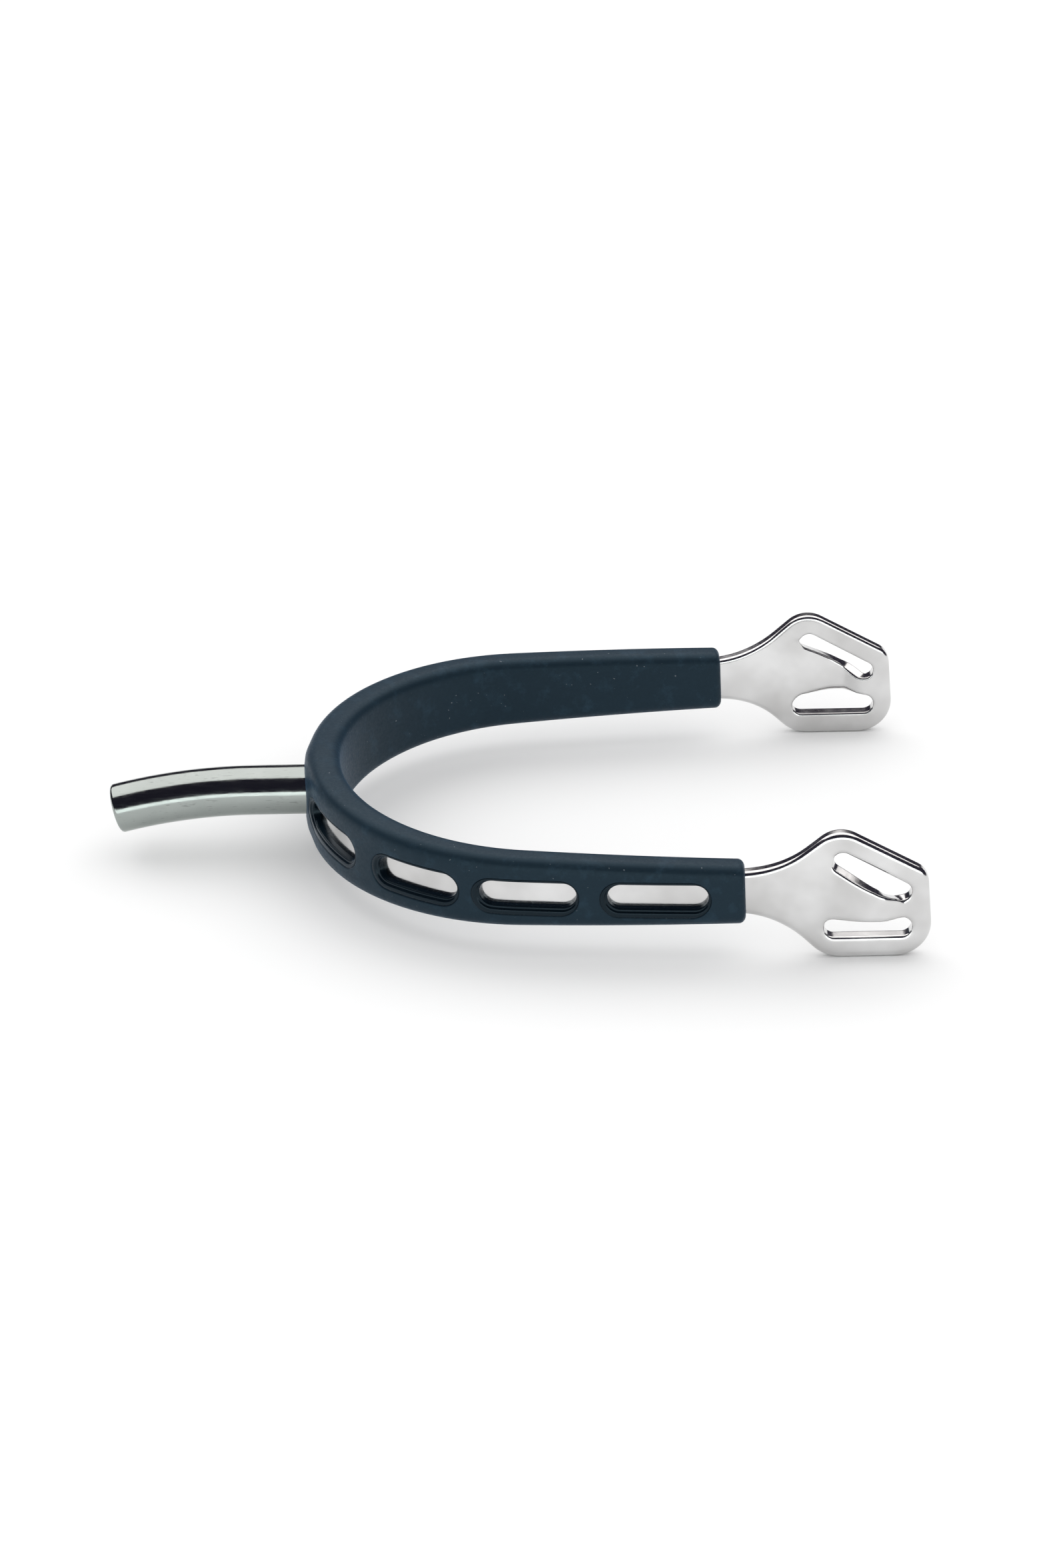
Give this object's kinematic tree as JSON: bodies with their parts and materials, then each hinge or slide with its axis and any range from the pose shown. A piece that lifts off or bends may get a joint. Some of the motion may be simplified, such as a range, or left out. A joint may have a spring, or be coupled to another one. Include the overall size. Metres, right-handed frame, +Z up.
{
  "type": "riding spur",
  "caption": "U-shaped steel riding spur with a downward-curved round neck, slotted strap loops at both ends and a windowed rubber cover over the heel band.",
  "frame": {"origin": "middle of the spur's bounding box seen from above, at the height of its lowest point, the underside of the strap loops", "axes": "+X ahead, from the neck towards the toe of the boot, +Y to the rider's left, +Z up; the spur is the same on both sides of the XZ plane"},
  "size_m": [0.1448, 0.0936, 0.0243],
  "materials": {
    "polished_steel": "polished stainless steel with a fine satin haze on the flat faces",
    "neck_steel": "mirror-polished stainless steel",
    "rubber": "satin blue-black moulded rubber"
  },
  "bodies": {
    "root": {"heel_band": "polished_steel", "neck": "neck_steel", "rubber_cover": "rubber"}
  },
  "joints": []
}
